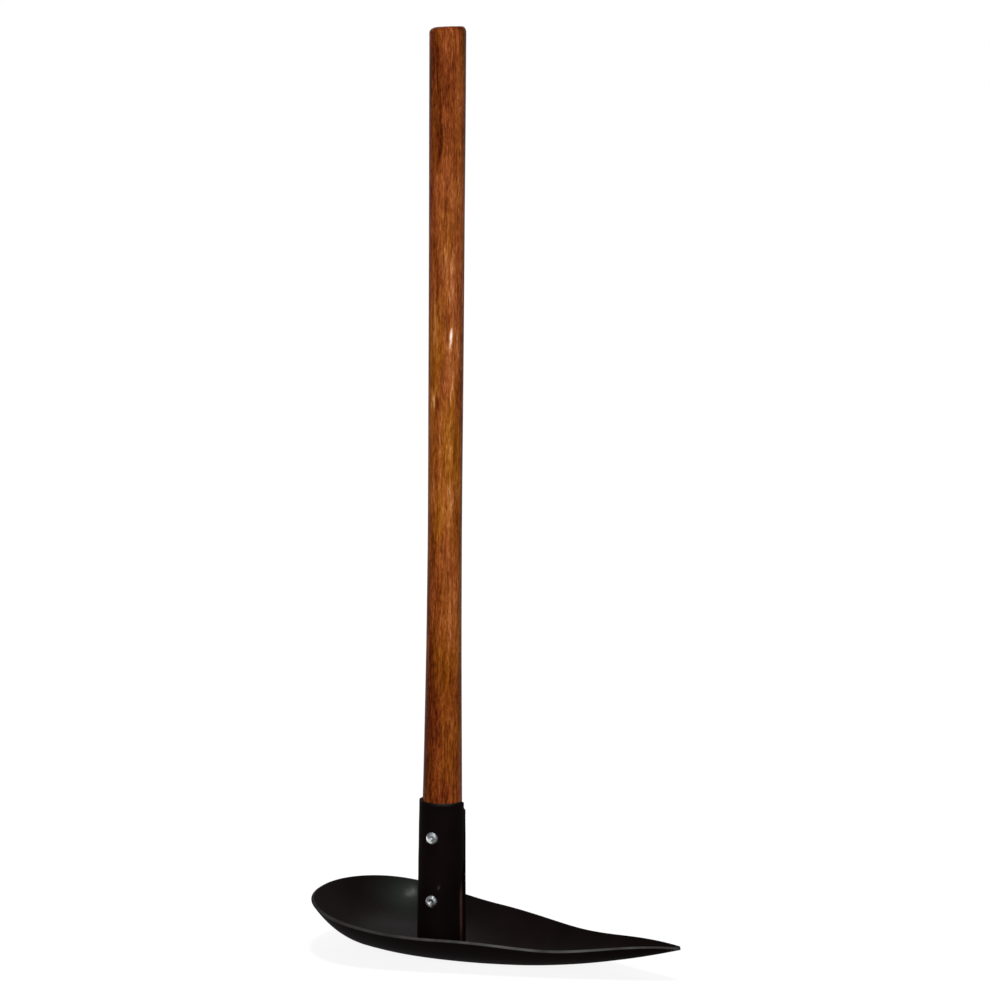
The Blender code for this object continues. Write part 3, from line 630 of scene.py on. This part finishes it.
# Foot weld: one fillet bead laid by hand round the socket's foot, from one edge of the seam to the
# other, and painted over with the rest. Each dab of the rod left a crescent ripple.

WELD_LEG = 4.6 * MM
WELD_CLEARANCE = 0.1 * MM
WELD_ROOT = 1.0 * MM
RIPPLE_PITCH = 2.6 * MM
RIPPLE_LAG = 1.1 * MM


def weld_surface():
    """The bead: a quarter round from the socket's wall to the dish, carried round the foot.

    Its leg is 0.90 to 0.99 of WELD_LEG, and grows with each dab as a half sine in the distance
    along the path, less the sideways lag that makes each ripple a crescent. It wanders by up to
    0.05 more, and its ends taper to rounded tips. One more column closes it along the root.
    """
    path_radius = SOCKET_FOOT_RADIUS + WELD_CLEARANCE
    start = math.asin(SEAM_FOOT_FAR_SIDE / path_radius)
    angle = np.linspace(start, 2.0 * np.pi - start, 420)[:, None]
    around = np.linspace(-0.16, 1.16, 15) * 0.5 * np.pi
    ends = np.minimum(angle - start, 2.0 * np.pi - start - angle) * path_radius / WELD_LEG
    taper = np.sqrt(np.clip(1.0 - (1.0 - np.clip(ends, 0.0, 1.0)) ** 2, 0.0, 1.0))
    along = angle * path_radius + RIPPLE_LAG * np.sin(2.0 * around)
    dab = np.abs(np.sin(np.pi * along / RIPPLE_PITCH))
    wander = 0.05 * ripple(angle, angle, angle, lengths=(0.9, 0.9, 0.9), seed=4)
    leg = WELD_LEG * (0.90 + 0.09 * dab + wander) * taper
    root = np.full_like(angle, -WELD_ROOT)
    radius = path_radius + np.concatenate([leg * np.sin(around), root], axis=1)
    rise = np.concatenate([WELD_CLEARANCE + leg * np.cos(around), root], axis=1)
    floor = dish_height(path_radius * np.cos(angle), path_radius * np.sin(angle))
    return np.stack([
        AXIS_X + radius * np.cos(angle), radius * np.sin(angle), DATUM_Z + floor + rise], axis=-1)


bead = sheet_of_quads("foot_weld_piece", weld_surface(), closed=True)
set_in_place(bead, "foot_weld", paint)


# Rivets: two steel rivets, zinc plated, through the socket and the handle. The setting tool left
# the -Y ends domed round a shallow dimple, and the +Y ends are factory heads, a low dome.

RIVET_HEAD_RADIUS = 6.35 * MM
RIVET_SHANK_RADIUS = 3.2 * MM
HEAD_HEIGHT = 2.2 * MM
HEAD_SUNK = 2.0 * MM
HEAD_DENT = 0.02
RIDGE_RADIUS = 3.3 * MM
DIMPLE_DEPTH = 0.9 * MM
NUB_HEIGHT = 0.3 * MM
HIGHLIGHT_ANGLE = 225.0


def rivet_surface(height):
    """One rivet: radius against distance from the handle's axis, turned round the Y axis.

    From the factory head's middle: a quarter ellipse, the head's sunk underside, the shank, the
    set head's underside, a quarter ellipse up to the ridge, and the dimple, which is a cosine with
    a small nub in its middle. The hammer left the set head's outline a little uneven.
    """
    seat = socket_radius(height) + SEAT_GAP
    sunk = seat - HEAD_SUNK
    arc = 0.5 * np.pi * np.linspace(0.0, 1.0, 15)
    dimple = np.linspace(1.0, 0.0, 15)[1:]
    nub = NUB_HEIGHT * np.exp(-(dimple / 0.3) ** 2)
    radius = np.concatenate([
        RIVET_HEAD_RADIUS * np.sin(arc),
        [RIVET_HEAD_RADIUS, RIVET_SHANK_RADIUS, RIVET_SHANK_RADIUS, RIVET_HEAD_RADIUS],
        RIDGE_RADIUS + (RIVET_HEAD_RADIUS - RIDGE_RADIUS) * np.cos(arc),
        RIDGE_RADIUS * dimple,
    ])
    out = np.concatenate([
        seat + HEAD_HEIGHT * np.cos(arc),
        [sunk, sunk, -sunk, -sunk],
        -seat - HEAD_HEIGHT * np.sin(arc),
        -seat - HEAD_HEIGHT + 0.5 * DIMPLE_DEPTH * (1.0 + np.cos(np.pi * dimple)) - nub,
    ])
    angle = np.linspace(0.0, 2.0 * np.pi, 65)[:-1]
    uneven = ripple(
        np.cos(angle), np.sin(angle), height / MM, lengths=(1.2, 1.2, 30.0), seed=6)
    set_head = (out < -sunk)[:, None]
    radius = radius[:, None] * (1.0 - HEAD_DENT * (1.0 + uneven) * set_head)
    x = AXIS_X + radius * np.cos(angle)
    z = DATUM_Z + height + radius * np.sin(angle)
    return np.stack([x, out[:, None] + 0.0 * angle, z], axis=-1)


def paint_head_highlight(places, height):
    """How bright the set head's painted highlight is: a crescent low on its -X side.

    The crescent is a Gaussian of the fourth power in the angle round the rivet, about the
    highlight's set angle from +X, times one in the radius. The nub in the middle and a patch on the
    other side of the dimple are painted bright too. Lengths are shares of the head's radius.
    """
    x = (places[:, 0] - AXIS_X) / RIVET_HEAD_RADIUS
    z = (places[:, 2] - DATUM_Z - height) / RIVET_HEAD_RADIUS
    radius = np.hypot(x, z)
    turned = (np.degrees(np.arctan2(z, x)) - HIGHLIGHT_ANGLE + 180.0) % 360.0 - 180.0
    crescent = 1.7 * np.exp(-(turned / 55.0) ** 4 - ((radius - 0.82) / 0.24) ** 2)
    patch = 0.15 * np.exp(-((x - 0.10) / 0.35) ** 2 - ((z - 0.45) / 0.30) ** 2)
    nub = 0.7 * np.exp(-(radius / 0.12) ** 2)
    return np.clip(crescent + patch + nub, 0.0, 1.0) * (places[:, 1] < 0.0)


# Zinc plated steel: a cool grey metal, dull and slightly mottled, with a near-white highlight
# painted on the set head. The mottling's spots are 1.6 mm apart, as coarse as they need to show.
zinc, tree, shader = new_finish("zinc_plated_steel")
place = add(tree, "ShaderNodeTexCoord").outputs["Object"]
mottle = add(tree, "ShaderNodeTexNoise", {
    "Vector": place, "Scale": 1.0 / (1.6 * MM), "Detail": 3.0, "Roughness": 0.6}).outputs["Fac"]
plated = add(tree, "ShaderNodeValToRGB", {
    "Fac": mottle}, stops=((0.32, "#3d3e40"), (0.68, "#7b7d7f"))).outputs["Color"]
tree.links.new(add(tree, "ShaderNodeMix", {
    "Factor": add(tree, "ShaderNodeAttribute", attribute_name="painted_head_highlight").outputs["Fac"],
    "A": plated, "B": linear("#fcfcfc")},
    data_type="RGBA").outputs["Result"], shader.inputs["Base Color"])
tree.links.new(add(tree, "ShaderNodeMapRange", {
    "Value": mottle, "From Min": 0.3, "From Max": 0.7,
    "To Min": 0.48, "To Max": 0.32}).outputs["Result"], shader.inputs["Roughness"])
tree.links.new(add(tree, "ShaderNodeBump", {
    "Strength": 0.4, "Distance": 0.15 * MM, "Height": mottle}).outputs["Normal"],
    shader.inputs["Normal"])
shader.inputs["Metallic"].default_value = 1.0

for rivet_name in ("rivet_upper", "rivet_lower"):
    rivet_low, rivet_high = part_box(rivet_name)
    rivet_height = 0.5 * (rivet_low.z + rivet_high.z) - DATUM_Z
    rivet = sheet_of_quads(rivet_name + "_piece", rivet_surface(rivet_height), closed=True)
    # The set head's painted highlight.
    set_attribute(rivet, "painted_head_highlight", paint_head_highlight(read_xyz(rivet.vertices, "co"), rivet_height))
    set_in_place(rivet, rivet_name, zinc)


# Floor: one plain surface that the blade's belly rests on. It shows white to the camera and in
# reflections, except where the object's shadow falls.

FLOOR_HALF = 60.0
FLOOR_LIFT = 0.89
floor_mesh = bpy.data.meshes.new("floor")
floor_mesh.from_pydata([
    (-FLOOR_HALF, -FLOOR_HALF, 0.0), (FLOOR_HALF, -FLOOR_HALF, 0.0),
    (FLOOR_HALF, FLOOR_HALF, 0.0), (-FLOOR_HALF, FLOOR_HALF, 0.0)], [], [(0, 1, 2, 3)])
floor = bpy.data.objects.new("floor", floor_mesh)
bpy.context.scene.collection.objects.link(floor)


def sees_white(tree):
    """One for a ray from the camera, from a reflection or through glass, and zero for the rest."""
    rays = add(tree, "ShaderNodeLightPath").outputs
    seen = rays["Is Camera Ray"]
    for ray in ("Is Glossy Ray", "Is Transmission Ray"):
        seen = add(tree, "ShaderNodeMath", {
            0: seen, 1: rays[ray]}, operation="MAXIMUM").outputs["Value"]
    return seen


# Matt paper: a mid grey as the lamps light it, which keeps the shadow soft and throws little light
# back up. It is lifted to white for the rays that see it straight or in a reflection.
paper, tree, shader = new_finish("matt_white_paper")
shader.inputs["Base Color"].default_value = linear("#565656")
shader.inputs["Roughness"].default_value = 0.9
shader.inputs["Specular IOR Level"].default_value = 0.0
shader.inputs["Emission Color"].default_value = (1.0, 1.0, 1.0, 1.0)
tree.links.new(add(tree, "ShaderNodeMath", {
    0: sees_white(tree), 1: FLOOR_LIFT}, operation="MULTIPLY").outputs["Value"],
    shader.inputs["Emission Strength"])
floor_mesh.materials.append(paper)


# Light: a white room. Its light on the object is a soft grey, with a broad lamp in front, one
# overhead, a weak one behind, and a tall strip of light on the right that draws the sheen down
# the handle.

ROOM_LIGHT = 0.25
STRIP_PLACE = (2.06, -1.32, 0.87)
STRIP_DIRECTION = (0.848, -0.530, 0.0)
STRIP_WIDTH = 0.35
STRIP_HEIGHT = 1.7
STRIP_WATTS = 6.0

world = bpy.data.worlds.new("white_room")
world.use_nodes = True
bpy.context.scene.world = world
tree = world.node_tree
tree.nodes.clear()
room = add(tree, "ShaderNodeMix", {
    "Factor": sees_white(tree), "A": ROOM_LIGHT, "B": 1.0}).outputs["Result"]
add(tree, "ShaderNodeOutputWorld", {"Surface": add(tree, "ShaderNodeBackground", {
    "Color": (1.0, 1.0, 1.0, 1.0), "Strength": room}).outputs["Background"]})


def hang_lamp(name, kind, strength, direction, place=(0.0, 0.0, 0.0)):
    """A lamp that shines on the object from a direction. The place of a far one makes no odds."""
    lamp = bpy.data.lights.new(name, kind)
    lamp.energy = strength
    holder = bpy.data.objects.new(name, lamp)
    bpy.context.scene.collection.objects.link(holder)
    holder.location = place
    holder.rotation_euler = Vector(direction).to_track_quat("Z", "Y").to_euler()
    return lamp


# Three lamps far away: the strength and direction of each, and how many degrees wide it looks.
for name, strength, direction, spread in (
        ("front_lamp", 2.12, (0.17, -1.0, 0.30), 35.0),
        ("top_lamp", 3.0, (0.13, -0.16, 0.977), 10.0),
        ("back_lamp", 0.8, (-0.28, 0.60, 0.75), 50.0)):
    hang_lamp(name, "SUN", strength, direction).angle = math.radians(spread)

strip = hang_lamp("strip_lamp", "AREA", STRIP_WATTS, STRIP_DIRECTION, STRIP_PLACE)
strip.shape = "RECTANGLE"
strip.size = STRIP_WIDTH
strip.size_y = STRIP_HEIGHT


# Camera: the photograph's place, 25 degrees round from the blade's -Y side towards its point. It
# is almost as high as the handle's top, and looks down at the tool's middle.

CAMERA_PLACE = (1.320182, -2.963264, 0.885658)
CAMERA_TURN = math.radians(24.12622)
CAMERA_DIP = math.radians(7.38555)
CAMERA_ROLL = math.radians(0.48)
SENSOR_WIDTH = 36.0
FRAME_PIXELS = 990.0
FOCAL_PIXELS = 3350.0

camera_data = bpy.data.cameras.new("photo_camera")
camera_data.sensor_width = SENSOR_WIDTH
camera_data.lens = FOCAL_PIXELS / FRAME_PIXELS * SENSOR_WIDTH
camera = bpy.data.objects.new("photo_camera", camera_data)
bpy.context.scene.collection.objects.link(camera)
camera.matrix_world = (
    Matrix.Translation(CAMERA_PLACE)
    @ Matrix.Rotation(CAMERA_TURN, 4, "Z")
    @ Matrix.Rotation(0.5 * math.pi - CAMERA_DIP, 4, "X")
    @ Matrix.Rotation(CAMERA_ROLL, 4, "Z")
)
bpy.context.scene.camera = camera

bpy.context.scene.view_settings.view_transform = "Standard"
